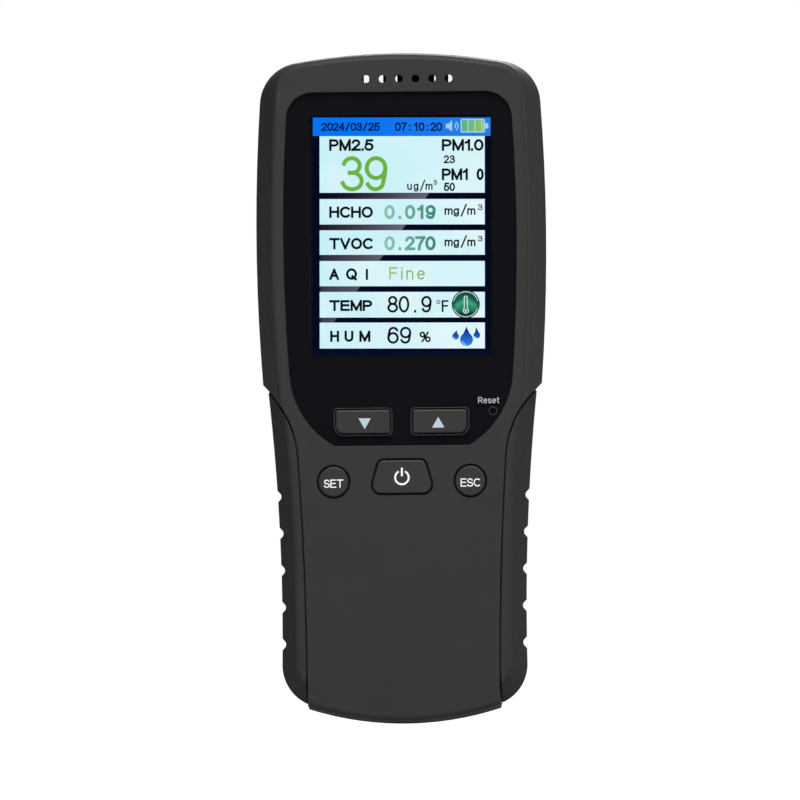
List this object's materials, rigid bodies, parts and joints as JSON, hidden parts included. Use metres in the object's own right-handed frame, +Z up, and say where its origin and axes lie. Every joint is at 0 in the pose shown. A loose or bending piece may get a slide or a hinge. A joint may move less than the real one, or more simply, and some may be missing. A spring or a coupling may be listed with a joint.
{
  "type": "handheld air quality monitor",
  "caption": "Handheld air quality monitor: waisted casing with rubber side grips, flush display window, push keys, pinhole reset, vents and a fan-driven particle sensor.",
  "frame": {"origin": "bottom centre of the whole object's bounding box", "axes": "+X to the user's right, +Y from the display to the back, +Z up along the body; the display faces -Y"},
  "size_m": [0.0702, 0.034, 0.1626],
  "materials": {
    "casing": "fine textured charcoal ABS",
    "grip_rubber": "soft-touch charcoal rubber",
    "key_plastic": "smooth satin charcoal",
    "window_clear": "clear acrylic, polished",
    "border_print": "black printed adhesive film",
    "gasket_foam": "closed-cell foam",
    "lcd_glass": "display glass, lit when on",
    "lcd_frame": "pressed steel",
    "holder_plastic": "moulded white",
    "ribbon_film": "amber polyimide",
    "board_laminate": "green solder mask",
    "chip_epoxy": "moulded epoxy",
    "connector_nylon": "natural nylon",
    "socket_steel": "tinned steel",
    "switch_body": "moulded black",
    "switch_plunger": "moulded black",
    "cell_foil": "crinkled foil pouch",
    "pad_foam": "foam",
    "lead_red": "silicone insulation",
    "sensor_case": "blue lacquered shell",
    "fan_plastic": "moulded black",
    "laser_brass": "turned brass",
    "gas_cell": "moulded white",
    "sensor_can": "drawn can",
    "screw_steel": "black zinc",
    "label_film": "blank silver film"
  },
  "bodies": {
    "case": {"front_cover": "casing", "back_cover": "casing", "left_grip": "grip_rubber", "right_grip": "grip_rubber", "rating_label": "label_film", "display_window": "window_clear", "window_border": "border_print", "display_gasket": "gasket_foam", "lcd_panel": "lcd_glass", "lcd_backlight": "lcd_frame", "lcd_holder": "holder_plastic", "lcd_flex": "ribbon_film", "flex_connector": "connector_nylon", "main_board": "board_laminate", "board_chips": "chip_epoxy", "usb_socket": "socket_steel", "key_switches": "switch_body", "reset_switch": "switch_body", "battery_cell": "cell_foil", "battery_pad": "pad_foam", "battery_leads": "lead_red", "battery_plug": "connector_nylon", "pm_housing": "sensor_case", "pm_lid": "sensor_case", "pm_pad": "pad_foam", "pm_connector": "connector_nylon", "pm_board": "board_laminate", "pm_laser": "laser_brass", "fan_frame": "fan_plastic", "formaldehyde_sensor": "gas_cell", "voc_sensor": "sensor_can", "climate_sensor": "chip_epoxy", "buzzer": "switch_body", "case_screws": "screw_steel", "board_screws": "screw_steel"},
    "set_key": {"set_button": "key_plastic", "set_plunger": "switch_plunger"},
    "power_key": {"power_button": "key_plastic", "power_plunger": "switch_plunger"},
    "esc_key": {"esc_button": "key_plastic", "esc_plunger": "switch_plunger"},
    "down_key": {"down_button": "key_plastic", "down_plunger": "switch_plunger"},
    "up_key": {"up_button": "key_plastic", "up_plunger": "switch_plunger"},
    "reset_pin": {"reset_plunger": "switch_plunger"},
    "fan_wheel": {"fan_rotor": "fan_plastic"}
  },
  "joints": [
    {"name": "set_key_press", "type": "slide", "parent": "case", "child": "set_key", "axis": [0, 1, 0], "range_m": [0, 0.0005]},
    {"name": "power_key_press", "type": "slide", "parent": "case", "child": "power_key", "axis": [0, 1, 0], "range_m": [0, 0.0005]},
    {"name": "esc_key_press", "type": "slide", "parent": "case", "child": "esc_key", "axis": [0, 1, 0], "range_m": [0, 0.0005]},
    {"name": "down_key_press", "type": "slide", "parent": "case", "child": "down_key", "axis": [0, 1, 0], "range_m": [0, 0.0005]},
    {"name": "up_key_press", "type": "slide", "parent": "case", "child": "up_key", "axis": [0, 1, 0], "range_m": [0, 0.0005]},
    {"name": "reset_pin_press", "type": "slide", "parent": "case", "child": "reset_pin", "axis": [0, 1, 0], "range_m": [0, 0.0003]},
    {"name": "fan_spin", "type": "hinge", "parent": "case", "child": "fan_wheel", "pos_m": [-0.007, 0, 0.1346], "axis": [0, 1, 0], "continuous": true}
  ]
}
